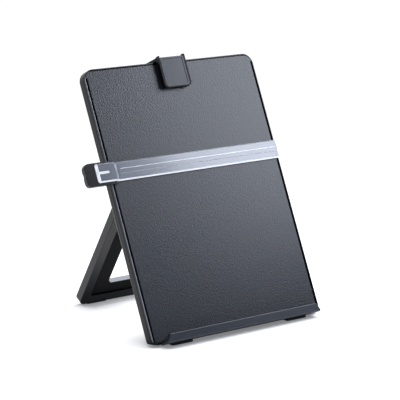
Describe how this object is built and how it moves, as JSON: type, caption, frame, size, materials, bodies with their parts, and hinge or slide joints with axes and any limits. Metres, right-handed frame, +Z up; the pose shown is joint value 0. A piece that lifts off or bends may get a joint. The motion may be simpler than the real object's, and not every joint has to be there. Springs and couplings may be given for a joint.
{
  "type": "copy holder with line guide",
  "caption": "Desk copy holder: a textured panel on a folding easel leg, with a paper ledge, a sprung top clip and a clear line guide that slides up and down.",
  "frame": {"origin": "middle of the whole object's bounding box, at table level, with the leg open and the guide where the picture shows it", "axes": "+Z up, +Y from the reader towards the easel leg, +X towards the reader's right"},
  "size_m": [0.2664, 0.2146, 0.2872],
  "materials": {
    "tray_plastic": "moulded, lightly satin, near black",
    "face_plastic": "graphite grey with a fine all-over pebble texture",
    "ledge_plastic": "moulded, smooth satin graphite",
    "leg_plastic": "moulded, satin black",
    "clip_plastic": "moulded, satin black",
    "clip_plate_plastic": "moulded, satin graphite",
    "guide_plastic": "moulded, satin black",
    "clear_plastic": "clear acrylic, polished, bevelled edges",
    "white_plastic": "opaque white",
    "bearing_plastic": "natural low-friction plastic",
    "rubber": "soft, non-slip",
    "plated_steel": "bright zinc plate",
    "spring_steel": "drawn spring wire and strip"
  },
  "bodies": {
    "holder": {"rear_tray": "tray_plastic", "face_panel": "face_plastic", "face_screws": "plated_steel", "paper_ledge": "ledge_plastic", "front_foot_left": "rubber", "front_foot_right": "rubber", "clip_bracket": "plated_steel", "clip_screws": "plated_steel", "clip_pin": "plated_steel", "clip_spring": "spring_steel", "leg_pin_left": "plated_steel", "leg_pin_right": "plated_steel", "leg_ring_left": "spring_steel", "leg_ring_right": "spring_steel", "leg_washer_left": "bearing_plastic", "leg_washer_right": "bearing_plastic"},
    "guide": {"slider_block": "guide_plastic", "guide_strip": "clear_plastic", "index_bar": "white_plastic", "guide_shoe": "bearing_plastic", "guide_leaf_spring": "spring_steel", "guide_end_shoe": "bearing_plastic"},
    "clip": {"clip_lever": "clip_plastic", "clip_face_plate": "clip_plate_plastic", "clip_jaw_pad": "rubber"},
    "leg": {"leg_frame": "leg_plastic", "leg_pad_left": "rubber", "leg_pad_right": "rubber"}
  },
  "joints": [
    {"name": "guide_slide", "type": "slide", "parent": "holder", "child": "guide", "axis": [0, 0.4067, 0.9135], "range_m": [-0.168, 0.072]},
    {"name": "clip_pivot", "type": "hinge", "parent": "holder", "child": "clip", "pos_m": [0.01675, 0.04216, 0.26575], "axis": [-1, 0, 0], "range_deg": [0, 24], "stiffness_Nm_per_rad": 0.1, "springref_deg": -42.97},
    {"name": "leg_fold", "type": "hinge", "parent": "holder", "child": "leg", "pos_m": [0.01675, 0.00066, 0.16885], "axis": [-1, 0, 0], "range_deg": [0, 55.8]}
  ]
}
